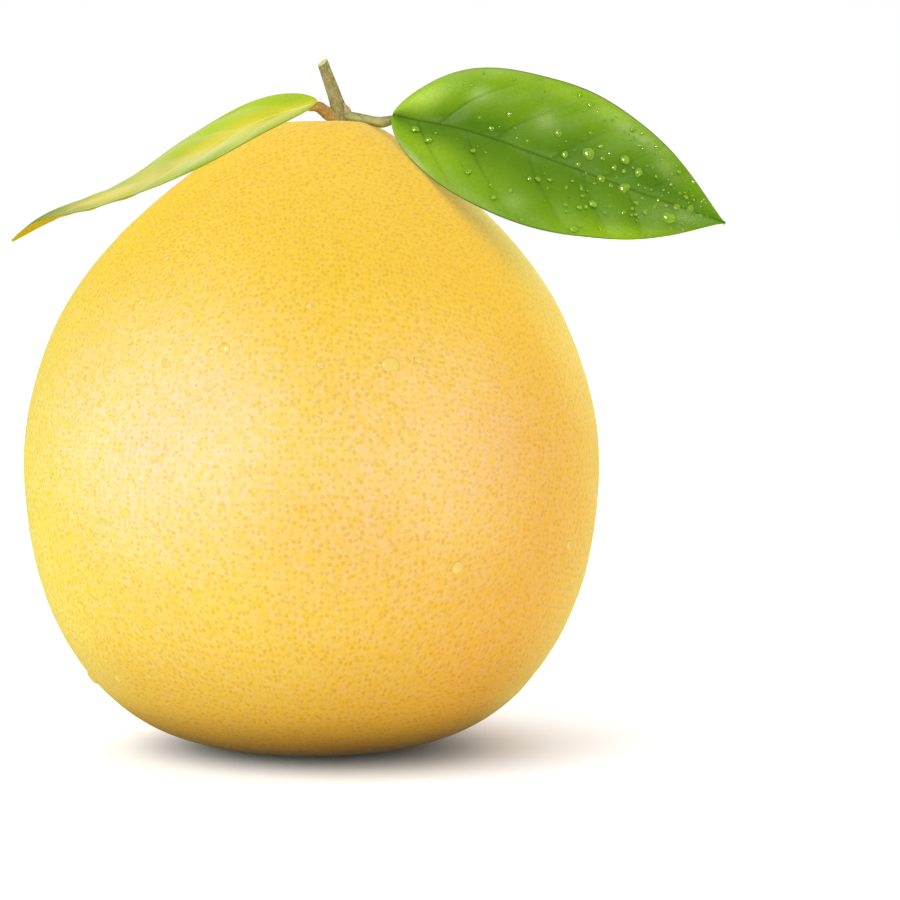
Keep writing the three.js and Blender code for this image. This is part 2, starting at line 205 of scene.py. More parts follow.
# The backdrop again, weaker, for the rind alone.
RIND_BACKDROP = ("rind_backdrop", (-0.1, 1.0, 0.25), 1.15, 150, WHITE)
WOODY = ("twig", "bud", "right_leaf_stalk", "left_leaf_stalk")
GLOSS_CARDS = [  # the same, then the colour, and the pieces that show the card in their gloss
    ("left_window", (-0.82, -0.56, 0.18), 4.4, 80, (0.55, 0.7, 1.0), ("peel",)),
    ("right_window", (0.78, -0.6, 0.2), 3.2, 64, (0.4, 0.8, 1.0), ("peel",)),
    ("front_wall", (-0.05, -1.0, 0.0), 1.6, 60, (0.4, 0.9, 1.0), ("peel",)),
    ("back_wall", (0.3, 0.65, 0.7), 0.8, 80, (1.0, 1.0, 0.8), ("peel",)),
    ("left_wall", (-0.66, 0.75, -0.05), 0.6, 60, (0.6, 0.9, 0.35), ("peel",)),
    ("right_wall", (0.55, 0.83, -0.05), 1.2, 60, (0.6, 0.9, 0.3), ("peel",)),
    ("wood_window", (-0.8, -0.55, 0.2), 8.0, 80, (1.0, 0.88, 0.5), WOODY),
    ("wood_wall", (0.7, -0.65, 0.2), 4.5, 70, (1.0, 0.95, 0.55), WOODY),
    ("base_card", (-0.46, -0.48, 0.74), 0.4, 22, WHITE, ("right_leaf_blade",)),
    ("edge_card", (0.13, -0.51, 0.85), 0.2, 18, WHITE, ("right_leaf_blade",)),
    ("behind_card", (-0.25, 0.9, 0.33), 0.25, 34, (1.0, 0.5, 0.75), ("left_leaf_blade",)),
    ("leaf_spark", (-0.35, -0.7, 0.6), 8.0, 16, WHITE, ("leaf_drops",)),
    ("peel_spark", (-0.35, -0.7, 0.6), 1.6, 30, (1.0, 1.0, 0.8), ("peel_drops",)),
]
# Diffuse light on one piece alone, which only the rind stops: pale on the floor, so that
# the shadow is soft, and blue on the rind, as from a window.
FLOOR_WASH = ("floor_wash", (-0.75, -0.4, 0.5), 2.3, 60, (0.9, 0.95, 1.0))
RIND_FILL = ("rind_fill", (-0.8, -0.6, 0.15), 3.6, 50, (0.0, 0.09, 1.0))

# ---- camera ----


def place_object(name, data):
    """Puts an object with that data into the scene."""
    placed = bpy.data.objects.new(name, data)
    bpy.context.scene.collection.objects.link(placed)
    return placed


def make_camera():
    """A long lens a little above the fruit's middle."""
    elevation = math.radians(CAMERA["elevation"])
    back = Vector((0, -math.cos(elevation), math.sin(elevation)))
    data = bpy.data.cameras.new("camera")
    data.lens = CAMERA["lens"]
    data.sensor_width = 36
    camera = place_object("camera", data)
    camera.location = Vector(CAMERA["target"]) + back * CAMERA["distance"]
    camera.rotation_euler = (math.pi / 2 - elevation, 0, 0)
    bpy.context.scene.camera = camera


make_camera()

# ---- curves and meshes ----


def along(stops, u):
    """The value at u, 0 to 1, of a Catmull-Rom curve through equally spaced stops."""
    stops = np.asarray(stops, float)
    last = len(stops) - 1
    x = np.clip(u, 0, 1) * last
    i = np.minimum(np.floor(x).astype(int), last - 1)
    first = 2 * stops[:1] - stops[1:2]
    final = 2 * stops[-1:] - stops[-2:-1]
    padded = np.concatenate([first, stops, final])
    before, here, there, after = (padded[i + k] for k in range(4))
    t = x - i
    if stops.ndim > 1:
        t = t[..., None]
    slope0 = (there - before) / 2
    slope1 = (after - here) / 2
    rise = there - here
    return here + t * (slope0 + t * (3 * rise - 2 * slope0 - slope1 + t * (slope0 + slope1 - 2 * rise)))


def unit(vectors):
    return vectors / np.linalg.norm(vectors, axis=-1, keepdims=True)


def direction_along(stops, u):
    return unit(along(stops, np.minimum(u + NEARBY, 1)) - along(stops, np.maximum(u - NEARBY, 0)))


def soft_noise(points, size):
    """Smooth noise, -1 to 1, with features of about that size, at each point."""
    scaled = points / size
    return np.array([noise.noise(Vector(p)) for p in scaled])


def smoothstep(low, high, x):
    t = np.clip((x - low) / (high - low), 0, 1)
    return t * t * (3 - 2 * t)


def tube_faces(rings, sides):
    """Quads between rings of points that are counted anticlockwise about the way on."""
    ring = np.arange(rings - 1)[:, None] * sides
    k = np.arange(sides)[None, :]
    following = (k + 1) % sides
    low, next_low = ring + k, ring + following
    quads = np.stack([low, next_low, next_low + sides, low + sides], axis=-1)
    return quads.reshape(-1, 4).tolist()


def fan_faces(first, sides, centre, forward):
    """Triangles from a ring to a centre point; forward if they face the way on."""
    pairs = [(first + k, first + (k + 1) % sides) for k in range(sides)]
    return [(a, b, centre) if forward else (b, a, centre) for a, b in pairs]


def closed_tube_faces(rings, sides):
    """A tube's faces, closed by the two points that follow its rings: start, then end."""
    count = rings * sides
    closing = fan_faces(0, sides, count, forward=False)
    return tube_faces(rings, sides) + closing + fan_faces(count - sides, sides, count + 1, forward=True)


def make_piece(name, points, faces, materials):
    """An object of points in millimetres, which rides on the one body."""
    mesh = bpy.data.meshes.new(name)
    mesh.from_pydata((np.asarray(points) * MM).tolist(), [], faces)
    mesh.validate()
    for material in materials:
        mesh.materials.append(material)
    mesh.polygons.foreach_set("use_smooth", [True] * len(mesh.polygons))
    mesh.update()
    piece = place_object(name, mesh)
    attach(piece, "root")
    return piece


def paint(piece, name, values):
    """Stores one number a point under a name that a material can read."""
    attribute = piece.data.attributes.new(name, "FLOAT", "POINT")
    attribute.data.foreach_set("value", np.asarray(values, np.float32))


# ---- materials ----

MIX_FACTOR, MIX_A, MIX_B = 0, 6, 7  # the sockets of a colour mix


def linear(hex_colour):
    """An sRGB hex colour as linear red, green, blue and alpha."""
    channels = [int(hex_colour[i:i + 2], 16) / 255 for i in (1, 3, 5)]
    return [c / 12.92 if c <= 0.04045 else ((c + 0.055) / 1.055) ** 2.4 for c in channels] + [1]


def per_metre(width):
    """A pattern's scale on the object, for features of that width in millimetres."""
    return 1 / (width * MM)


def add(tree, kind, settings=None, links=None):
    """Adds a node with its settings, which are properties or sockets, and its links. A
    node given as the source of a link stands for its first output that is in use."""
    node = tree.nodes.new("ShaderNode" + kind)
    for key, value in (settings or {}).items():
        if isinstance(key, str) and hasattr(node, key):
            setattr(node, key, value)
        else:
            node.inputs[key].default_value = value
    for key, source in (links or {}).items():
        if isinstance(source, bpy.types.Node):
            source = next(output for output in source.outputs if output.enabled)
        tree.links.new(source, node.inputs[key])
    return node


def start_material(name):
    """A new material: its node tree, and the place of each point on the object."""
    material = bpy.data.materials.new(name)
    material.use_nodes = True
    tree = material.node_tree
    tree.nodes.clear()
    place = add(tree, "TexCoord").outputs["Object"]
    return material, tree, place


def finish_material(tree, settings, links):
    surface = add(tree, "BsdfPrincipled", settings, links)
    add(tree, "OutputMaterial", links={"Surface": surface})


RIND_NOISES = [  # how wide the features are in millimetres, detail, roughness
    (41.6667, 3, 0.5),  # drift from yellow to apricot
    (7.69231, 2, 0.5),  # blotches
    (1.78571, 4, 0.6),  # mottle between the glands
    (1.92308, 2, 0.5),  # how full each gland is
    (1.11111, 2, 0.5),  # how the glands wander from an even pitch
]
RIND_TOP_AND_PAINTED_SHADE = [  # heights in metres where a colour begins and is full, its share, the colour: a yellower top, then painted shade that darkens the rind towards the bottom
    (0.085, 0.14, 0.65, "#f2c40a"),
    (0.046, 0.0, 0.8, "#cc900c"),
    (0.019, 0.0, 0.75, "#7d5a0a"),
]
HIGHLIGHT_AND_WAX_PATCHES = [  # where the rind is paler, and how far, both in metres; strength
    # The first two are painted highlight, standing for the windows' gloss on the front; the other two are
    # paler wax.
    ((-0.04, -0.065, 0.102), 0.058, 0.85), ((0.03, -0.074, 0.092), 0.048, 0.35),
    ((0.02, 0.07, 0.1), 0.06, 0.7), ((-0.07, 0.03, 0.06), 0.05, 0.5),
]


def highlight_and_wax_patches(tree, place):
    """How pale the rind is at each place, by how near it is to the middle of a patch: painted highlight on
    the front, paler wax elsewhere.
    """
    palest = None
    for middle, reach, strength in HIGHLIGHT_AND_WAX_PATCHES:
        away = add(tree, "VectorMath", {"operation": "DISTANCE", 1: middle}, {0: place})
        near = add(tree, "MapRange",
                   {"interpolation_type": "SMOOTHSTEP", "From Min": reach, "From Max": 0.3 * reach,
                    "To Max": strength},
                   {"Value": away})
        if palest is not None:
            near = add(tree, "Math", {"operation": "MAXIMUM"}, {0: near, 1: palest})
        palest = near
    return palest


def pomelo_peel():
    """Waxy citrus rind, grown over oil glands. They show through the skin as darker dots
    about 1.9 mm apart, each in a shallow pit, on a yellow that turns to apricot on one
    side and darkens towards the bottom as painted shade. Paler patches are painted
    highlight on the front and thicker wax elsewhere."""
    material, tree, place = start_material("pomelo_peel")
    axes = add(tree, "SeparateXYZ", links={0: place}).outputs
    drift, blotch, mottle, fullness, wander = [
        add(tree, "TexNoise", {"Scale": per_metre(width), "Detail": detail, "Roughness": rough},
            {"Vector": place})
        for width, detail, rough in RIND_NOISES]
    even_pitch = add(tree, "UVMap", {"uv_map": "gland_pitch"})
    pitch = add(tree, "VectorMath", {"operation": "MULTIPLY_ADD", 1: (0.6, 0.6, 0.0)},
                {0: wander.outputs["Color"], 2: even_pitch})
    # The small glands lie about half a pitch apart between the large ones.
    glands, small_glands = [
        add(tree, "TexVoronoi", {"voronoi_dimensions": "2D", "Scale": scale, "Randomness": disorder},
            {"Vector": pitch})
        for scale, disorder in ((1, 0.72), (1.9, 0.9))]
    dots, specks = [
        add(tree, "MapRange",
            {"interpolation_type": "SMOOTHSTEP", "From Min": core, "From Max": rim, "To Min": most,
             "To Max": 0},
            {"Value": own_glands})
        for core, rim, most, own_glands in ((0.14, 0.46, 1, glands), (0.08, 0.4, 0.35, small_glands))]
    all_dots = add(tree, "Math", {"operation": "MAXIMUM"}, {0: dots, 1: specks})
    # Some glands are fuller and darker than their neighbours.
    dot_strength = add(tree, "MapRange",
                       {"From Min": 0.36, "From Max": 0.64, "To Min": 0.12, "To Max": 0.54},
                       {"Value": fullness})
    dot_depth = add(tree, "Math", {"operation": "MULTIPLY"}, {0: all_dots, 1: dot_strength})
    # How far towards apricot: more to the right, with a drift in it.
    rightward = add(tree, "MapRange", {"From Min": -0.075, "From Max": 0.06}, {"Value": axes["X"]})
    uneven = add(tree, "Math", {"operation": "MULTIPLY_ADD", 1: 0.7, 2: -0.35}, {0: drift})
    warmth = add(tree, "Math", {"operation": "ADD", "use_clamp": True}, {0: rightward, 1: uneven})
    colour = add(tree, "Mix", {"data_type": "RGBA", MIX_A: linear("#efcc0e"), MIX_B: linear("#e6aa08")},
                 {MIX_FACTOR: warmth})
    # The wax is uneven: it pales the skin in flecks, and more so in the pale patches, which are painted
    # highlight on the front and paler wax elsewhere.
    flecks = add(tree, "MapRange", {"From Min": 0.34, "From Max": 0.66}, {"Value": mottle})
    flecked = add(tree, "Math", {"operation": "MULTIPLY_ADD", 1: 0.7, 2: 0.3}, {0: flecks})
    bloom = add(tree, "Math", {"operation": "MULTIPLY"}, {0: flecked, 1: highlight_and_wax_patches(tree, place)})
    for share, wax in ((flecks, "#181e54"), (bloom, "#143468")):
        colour = add(tree, "Mix", {"data_type": "RGBA", "blend_type": "ADD", MIX_B: linear(wax)},
                     {MIX_FACTOR: share, MIX_A: colour})
    # A yellower top, then painted shade that darkens the rind towards the flat spot.
    for begins, full, most, tint in RIND_TOP_AND_PAINTED_SHADE:
        share = add(tree, "MapRange",
                    {"interpolation_type": "SMOOTHSTEP", "From Min": begins, "From Max": full,
                     "To Max": most},
                    {"Value": axes["Z"]})
        colour = add(tree, "Mix", {"data_type": "RGBA", MIX_B: linear(tint)},
                     {MIX_FACTOR: share, MIX_A: colour})
    both = add(tree, "Math", {"operation": "ADD"}, {0: mottle, 1: blotch})
    ripe = add(tree, "MapRange", {"From Min": 1.05, "From Max": 0.75, "To Min": 0, "To Max": 0.12},
               {"Value": both})
    mottled = add(tree, "Mix", {"data_type": "RGBA", MIX_B: linear("#e3a908")},
                  {MIX_FACTOR: ripe, MIX_A: colour})
    dotted = add(tree, "Mix", {"data_type": "RGBA", "blend_type": "MULTIPLY", MIX_B: linear("#dfcb00")},
                 {MIX_FACTOR: dot_depth, MIX_A: mottled})
    # A pit is duller than the wax between the pits, so the gloss breaks off there.
    dullness = add(tree, "Math", {"operation": "MULTIPLY_ADD", 1: 0.1, 2: 0.4}, {0: dot_depth})
    relief = add(tree, "Math", {"operation": "MULTIPLY_ADD", 1: -0.8}, {0: dots, 2: mottle})
    bump = add(tree, "Bump", {"Strength": 0.16, "Distance": 0.2 * MM}, {"Height": relief})
    finish_material(tree, {"IOR": 1.5, "Specular IOR Level": 0.32},
                    {"Base Color": dotted, "Normal": bump, "Roughness": dullness})
    return material


LEAF_PATCHES = [  # painted light as brighter yellow-green, darker green patches, and pale painted sheen over them
    ("lime", "#b2d410"),
    ("deep", "#3f6e00"),
    ("bloom", "#dcec9c"),
]
LEAF_FACES = [  # colours by the rib, beside it, at the tip, of veins and of the margin, then
    # roughness, how strongly veins show, and gloss
    ("deep_green_leaf_face", "#547d02", "#82ab04", "#5f8803", "#345206", "#4c6a0c", 0.27, 0.75, 0.26),
    ("pale_green_leaf_back", "#8aa23c", "#97ad48", "#869e3c", "#b8c378", "#a9ba62", 0.5, 0.8, 0.3),
    ("sunlit_leaf_face", "#cfc808", "#a2bc04", "#6f8c14", "#e2de62", "#7c9a10", 0.36, 0.9, 0.2),
    ("sunlit_leaf_back", "#b8ac0c", "#b6a40c", "#b8a006", "#c6b440", "#a89a1a", 0.6, 0.7, 0.02),
]


def leaf_face(name, by_rib, blade, far, vein, margin, roughness, vein_strength, gloss):
    """A citrus leaf's face under its glossy cuticle: a fine net of veins about 1.7 mm
    across between the side veins, a thin margin, and colour that drifts from the midrib
    outwards and to the tip."""
    material, tree, place = start_material(name)
    drift = add(tree, "TexNoise", {"Scale": per_metre(16.6667), "Detail": 4, "Roughness": 0.55},
                {"Vector": place})
    net = add(tree, "TexVoronoi", {"feature": "DISTANCE_TO_EDGE", "Scale": per_metre(1.66667)},
              {"Vector": place})
    threads = add(tree, "MapRange", {"From Min": 0.0, "From Max": 0.12, "To Min": 1, "To Max": 0},
                  {"Value": net})
    ageing, veins, rim, across, *shares = [
        add(tree, "Attribute", {"attribute_name": painted}).outputs["Fac"]
        for painted in ["ageing", "vein", "rim", "across"] + [kind for kind, _ in LEAF_PATCHES]]
    shift = add(tree, "Math", {"operation": "MULTIPLY_ADD", 1: 1.2, 2: -0.6}, {0: drift})
    towards_tip, sideways = [
        add(tree, "Math", {"operation": "ADD", "use_clamp": True}, {0: painted, 1: shift})
        for painted in (ageing, across)]
    colour = add(tree, "Mix", {"data_type": "RGBA", MIX_A: linear(by_rib), MIX_B: linear(blade)},
                 {MIX_FACTOR: sideways})
    fine = add(tree, "Math", {"operation": "MULTIPLY", 1: 0.12}, {0: threads})
    coarse = add(tree, "Math", {"operation": "MULTIPLY", 1: vein_strength, "use_clamp": True}, {0: veins})
    layers = [(towards_tip, far)]
    # Patches painted over the blade: painted light, darker green, and painted sheen.
    layers += [(share, patch_colour) for share, (_, patch_colour) in zip(shares, LEAF_PATCHES)]
    layers += [(fine, vein), (coarse, vein), (rim, margin)]
    for share, laid in layers:
        colour = add(tree, "Mix", {"data_type": "RGBA", MIX_B: linear(laid)},
                     {MIX_FACTOR: share, MIX_A: colour})
    bump = add(tree, "Bump", {"Strength": 0.08, "Distance": 0.1 * MM, "invert": True}, {"Height": threads})
    finish_material(tree, {"Roughness": roughness, "IOR": 1.47, "Specular IOR Level": gloss},
                    {"Base Color": colour, "Normal": bump})
    return material


def woody_skin(name, ground, ridge, shade, roughness):
    """Young bark, drawn out as the twig grew: fine lengthwise fibres about 0.45 mm wide
    and small corky specks, with no gloss."""
    material, tree, place = start_material(name)
    drawn = add(tree, "Mapping", {"Scale": (1, 1, 0.16)}, {"Vector": place})
    fibres = add(tree, "TexNoise", {"Scale": per_metre(0.454545), "Detail": 4, "Roughness": 0.6},
                 {"Vector": drawn})
    blotch = add(tree, "TexNoise", {"Scale": per_metre(2.38095), "Detail": 3, "Roughness": 0.6},
                 {"Vector": place})
    specks = add(tree, "TexVoronoi", {"Scale": per_metre(1.11111)}, {"Vector": place})
    grain = add(tree, "MapRange", {"From Min": 0.35, "From Max": 0.65}, {"Value": fibres})
    stain = add(tree, "MapRange", {"From Min": 0.42, "From Max": 0.68, "To Max": 0.7}, {"Value": blotch})
    cork = add(tree, "MapRange", {"From Min": 0.1, "From Max": 0.25, "To Min": 0.5, "To Max": 0},
               {"Value": specks})
    colour = add(tree, "Mix", {"data_type": "RGBA", MIX_A: linear(ground), MIX_B: linear(ridge)},
                 {MIX_FACTOR: grain})
    for share, laid in ((stain, shade), (cork, "#d9cd9c")):
        colour = add(tree, "Mix", {"data_type": "RGBA", MIX_B: linear(laid)},
                     {MIX_FACTOR: share, MIX_A: colour})
    relief = add(tree, "Math", {"operation": "ADD"}, {0: grain, 1: cork})
    bump = add(tree, "Bump", {"Strength": 0.6, "Distance": 0.1 * MM}, {"Height": relief})
    finish_material(tree, {"Roughness": roughness, "IOR": 1.45}, {"Base Color": colour, "Normal": bump})
    return material


def fresh_cut_wood():
    """The snipped end: damp green wood, paler towards a soft pith, with torn fibres."""
    material, tree, place = start_material("fresh_cut_wood")
    fibres = add(tree, "TexNoise", {"Scale": per_metre(0.384615), "Detail": 3}, {"Vector": place})
    torn = add(tree, "MapRange", {"From Min": 0.35, "From Max": 0.65}, {"Value": fibres})
    wood = add(tree, "Mix", {"data_type": "RGBA", MIX_A: linear("#d9d78e"), MIX_B: linear("#b9b762")},
               {MIX_FACTOR: torn})
    bump = add(tree, "Bump", {"Strength": 0.5, "Distance": 0.08 * MM}, {"Height": torn})
    finish_material(tree, {"Roughness": 0.55, "IOR": 1.4}, {"Base Color": wood, "Normal": bump})
    return material


def clear_water(name, gathered, clearness):
    """Water beads up on the wax as small clear lenses. A bead gathers the light that comes
    through it: gathered is the colour of that light, and clearness is how much of what
    lies behind still shows."""
    material, tree, _ = start_material(name)
    finish_material(tree, {"Base Color": linear(gathered), "Roughness": 0.07, "IOR": 1.333,
                           "Specular IOR Level": 1.0, "Transmission Weight": clearness}, {})
    return material


def studio_paper():
    """The seamless white paper that the fruit stands on, pressed with a fine tooth."""
    material, tree, place = start_material("studio_paper")
    tooth = add(tree, "TexNoise", {"Scale": per_metre(1.11111), "Detail": 3}, {"Vector": place})
    paper = add(tree, "Mix", {"data_type": "RGBA", MIX_A: linear("#f2f7fb"), MIX_B: linear("#f7fafd")},
                {MIX_FACTOR: tooth})
    finish_material(tree, {"Roughness": 0.9, "IOR": 1.35, "Specular IOR Level": 0.0}, {"Base Color": paper})
    return material


# ---- the fruit ----


def fruit_profile(latitude):
    """The fruit's radius and height at latitudes in radians, before lobes and furrows."""
    sine = np.sin(latitude)
    upper = sine > 0
    fall = np.where(upper, FRUIT["neck_fall"], FRUIT["base_fall"])
    taper = np.where(upper, FRUIT["neck_taper"], FRUIT["base_taper"])
    bare = FRUIT["radius"] * np.maximum(1 - np.abs(sine) ** fall, 0) ** taper
    above = FRUIT["dome_height"] - FRUIT["girth_height"]
    below = FRUIT["girth_height"] + FRUIT["base_below"]
    height = FRUIT["girth_height"] + np.where(upper, above, below) * sine
    dimple = np.where(upper, FRUIT["dimple_depth"] * np.exp(-((bare / FRUIT["dimple_radius"]) ** 2)), 0)
    swell = SHOULDER["swell"] * np.exp(-(((height - SHOULDER["height"]) / SHOULDER["reach"]) ** 2))
    return bare + swell, height - dimple


def fruit_surface(latitude, bearing, grow=0.0):
    """Points of the skin, moved outwards by grow."""
    radius, height = fruit_profile(latitude)
    out = radius + grow * np.cos(latitude)
    for count, size, turn in LOBES:
        out = out + size * radius / FRUIT["radius"] * np.cos(count * bearing + turn)
    near_stalk = np.exp(-((radius / FURROWS["reach"]) ** 2)) * np.minimum(radius / FURROWS["start"], 1)
    phase = FURROWS["count"] * bearing + FURROWS["turn"] + FURROWS["unevenness"] * np.sin(bearing)
    out = out - np.where(latitude > 0, FURROWS["depth"] * near_stalk * (1 - np.cos(phase)), 0)
    rise = np.clip((height - FRUIT["lean_from"]) / (FRUIT["dome_height"] - FRUIT["lean_from"]), 0, 1)
    return np.stack([
        FRUIT["lean"] * rise ** 2 + out * np.cos(bearing),
        out * np.sin(bearing),
        height + grow * np.sin(latitude),
    ], axis=-1)


def lowest_latitude():
    reach = FRUIT["girth_height"] + FRUIT["base_below"]
    return -math.asin(FRUIT["girth_height"] / reach)


def even_latitudes(count):
    """Latitudes from the flat spot's edge to just short of the crown, evenly spaced on
    the skin."""
    fine = np.linspace(lowest_latitude(), math.pi / 2, 4000)
    radius, height = fruit_profile(fine)
    steps = np.hypot(np.diff(radius), np.diff(height))
    travelled = np.concatenate([[0], np.cumsum(steps)])
    wanted = np.linspace(0, travelled[-1], count + 1)[:-1]
    return np.interp(wanted, travelled, fine)


def map_glands(peel):
    """Lays the glands' pitch over the skin from six sides, so that it stays even."""
    mesh = peel.data
    corners = np.zeros(len(mesh.loops), int)
    mesh.loops.foreach_get("vertex_index", corners)
    spots = np.zeros(len(mesh.vertices) * 3)
    mesh.vertices.foreach_get("co", spots)
    middle = np.array([0, 0, GLANDS["middle"]])
    spots = (spots.reshape(-1, 3) / MM - middle) * (1, 1, GLANDS["flatten"])
    sizes = np.zeros(len(mesh.polygons), int)
    mesh.polygons.foreach_get("loop_total", sizes)
    owner = np.repeat(np.arange(len(sizes)), sizes)
    centre = np.stack([np.bincount(owner, spots[corners, k]) for k in range(3)], axis=-1)
    facing = np.abs(centre).argmax(axis=1)
    side = 2 * facing + (centre[np.arange(len(facing)), facing] > 0)
    axis, own_side = facing[owner], side[owner]
    at = spots[corners]
    pick = np.arange(len(at))
    away = np.abs(at[pick, axis])
    turns = np.stack([np.arctan2(at[pick, (axis + k) % 3], away) for k in (1, 2)], axis=-1)
    spread = turns * GLANDS["reach"] / GLANDS["pitch"] + own_side[:, None] * GLANDS["apart"]
    layer = mesh.uv_layers.new(name="gland_pitch")
    layer.data.foreach_set("uv", spread.astype(np.float32).ravel())


def make_peel():
    """The whole skin, with its soft unevenness, closed by the flat spot below."""
    latitudes = even_latitudes(PEEL_RINGS)
    bearings = 2 * math.pi * np.arange(PEEL_ROUND) / PEEL_ROUND
    latitude, bearing = (g.ravel() for g in np.meshgrid(latitudes, bearings, indexing="ij"))
    smooth = fruit_surface(latitude, bearing)
    height_fade = smoothstep(0, EVEN_BELOW, smooth[:, 2])
    relief = sum(size * soft_noise(smooth + width * 7, width) for width, size in PEEL_SWELLS)
    skin = fruit_surface(latitude, bearing, relief * height_fade)
    edge = skin[:PEEL_ROUND]
    foot = []
    for ring in range(PEEL_FOOT_RINGS - 1, 0, -1):
        circle = edge * (ring / PEEL_FOOT_RINGS)
        distance = np.hypot(circle[:, 0], circle[:, 1])
        circle[:, 2] = BLOSSOM_SCAR["depth"] * np.exp(-((distance / BLOSSOM_SCAR["radius"]) ** 2))
        foot.append(circle)
    foot.reverse()
    foot_middle = [[0, 0, BLOSSOM_SCAR["depth"]]]
    crown = fruit_surface(np.array([math.pi / 2]), np.array([0.0]))
    points = np.concatenate(foot + [skin, foot_middle, crown])
    faces = closed_tube_faces(PEEL_FOOT_RINGS - 1 + PEEL_RINGS, PEEL_ROUND)
    peel = make_piece("peel", points, faces, [pomelo_peel()])
    map_glands(peel)
    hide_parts("fruit")
    return peel


# ---- the twig, its bud and the stalks ----


def limb_rings(path, radius, rings, sides, slant=0.0):
    """Rings of points round a path; radius(u, bearings) gives how far out they are. The
    last ring is cut at a slant. Returns its middle and the way on there, too."""
    bearings = 2 * math.pi * np.arange(sides) / sides
    across = np.array([0.0, 1.0, 0.0])
    points = []
    for u in np.linspace(0, 1, rings):
        centre = along(path, np.array(u))
        forward = direction_along(path, np.array(u))
        across = unit(across - forward * (across @ forward))
        beside = np.cross(forward, across)
        r = radius(u, bearings)
        step = slant * r * np.cos(bearings + TWIG["cut_turn"]) * smoothstep(TWIG["cut_from"], 1.0, u)
        points.append(centre + np.outer(r * np.cos(bearings), across)
                      + np.outer(r * np.sin(bearings), beside) + np.outer(step, forward))
    return np.concatenate(points), centre, forward


def round_grain(bearings, radius, height):
    """Places round a limb where its grain's noise is read."""
    heights = np.full_like(bearings, height)
    return np.stack([np.cos(bearings) * radius, np.sin(bearings) * radius, heights], axis=-1)


def twig_radius(u, bearings):
    """A lobed calyx button, a swollen foot, then a slow taper with lengthwise ridges."""
    height = u * TWIG["length"]
    taper = TWIG["foot_radius"] + (TWIG["tip_radius"] - TWIG["foot_radius"]) * u
    swelling = TWIG_NODE["swell"] * math.exp(-(((height - TWIG_NODE["height"]) / TWIG_NODE["reach"]) ** 2))
    lobed = 1 + CALYX["lobe_depth"] * np.cos(CALYX["lobes"] * bearings)
    button = max(1 - (height / CALYX["height"]) ** 3, 0) ** 0.5
    ring = round_grain(bearings, BARK_GRAIN["radius"], height / BARK_GRAIN["drawn_out"])
    grain = BARK_GRAIN["height"] * soft_noise(ring, BARK_GRAIN["width"])
    wander = BARK_RIDGES["wander"] * math.sin(height / BARK_RIDGES["wander_over"])
    ridges = BARK_RIDGES["height"] * np.cos(BARK_RIDGES["count"] * bearings + wander)
    return np.maximum(taper + swelling + grain + ridges, CALYX["radius"] * lobed * button)


def make_twig():
    """The twig and its calyx button, with a snipped end whose bark stands a little proud."""
    sides, rings = TWIG["sides"], TWIG["rings"]
    body, _, forward = limb_rings(TWIG["path"], twig_radius, rings, sides, TWIG["cut_slope"])
    last = body[-sides:]
    plane = last.mean(axis=0)
    ends = [plane + (last - plane) * share - forward * sunk for share, sunk in TWIG_CUT]
    foot, pith = body[:sides].mean(axis=0), plane - forward * PITH_SUNK
    points = np.concatenate([body] + ends + [[foot], [pith]])
    all_rings = rings + len(ends)
    faces = tube_faces(all_rings, sides)
    faces += fan_faces((all_rings - 1) * sides, sides, len(points) - 1, forward=True)
    faces += fan_faces(0, sides, len(points) - 2, forward=False)
    bark = woody_skin("olive_bark", "#7f7430", "#a1964e", "#5c5026", 0.6)
    twig = make_piece("twig", points, faces, [bark, fresh_cut_wood()])
    for polygon in twig.data.polygons[rings * sides:all_rings * sides]:
        polygon.material_index = 1  # cut wood, from just inside the bark's lip
    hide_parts("stem")


def bud_radius(u, bearings):
    """A pointed bud wrapped in scales that overlap in a spiral."""
    rounded = math.sin(math.pi * min(u * 0.96 + 0.02, 1)) ** 0.7
    spiral = np.cos(BUD["scales"] * bearings + BUD["spiral"] * u)
    scales = BUD["scale_height"] * spiral * math.sin(math.pi * u)
    return BUD["radius"] * (rounded * (1 - BUD["narrowing"] * u) * BUD["fullness"] + scales)


def make_bud():
    axis = np.array([-math.sin(BUD["lean"]), 0, math.cos(BUD["lean"])])
    middle = np.array(BUD["at"])
    path = [middle - axis * BUD["length"], middle, middle + axis * BUD["length"] * 1.05]
    points, _, _ = limb_rings(path, bud_radius, BUD["rings"], BUD["sides"])
    points = np.concatenate([points, [path[0]], [path[-1]]])
    skin = woody_skin("bud_scales", "#b08f6a", "#c9b58a", "#7d6a44", 0.6)
    bud = make_piece("bud", points, closed_tube_faces(BUD["rings"], BUD["sides"]), [skin])


def make_stalk(name, leaf, skin, roughness):
    """A leaf's stalk, from the twig to inside the blade's base."""

    def radius(u, bearings):
        base = along(leaf["stalk_radii"], np.array(u))
        ring = round_grain(bearings, 1, u * STALK_GRAIN["drawn_out"])
        grain = soft_noise(ring * STALK_GRAIN["crowding"] + STALK_GRAIN["shift"], 1.0)
        return base * (1 + roughness * grain)

    points, tip, _ = limb_rings(leaf["stalk"], radius, STALK_RINGS, STALK_SIDES)
    points = np.concatenate([points, [points[:STALK_SIDES].mean(axis=0)], [tip]])
    stalk = make_piece(name, points, closed_tube_faces(STALK_RINGS, STALK_SIDES), [skin])


# ---- the leaves ----


def blade_half_width(leaf, u):
    outline = BLADE["full"] * u ** BLADE["base"] * np.maximum(1 - u ** BLADE["late"], 0) ** BLADE["tip"]
    narrow = BLADE["narrow_base"] + (BLADE["narrow_tip"] - BLADE["narrow_base"]) * u
    return np.maximum(leaf["half_width"] * outline, narrow)


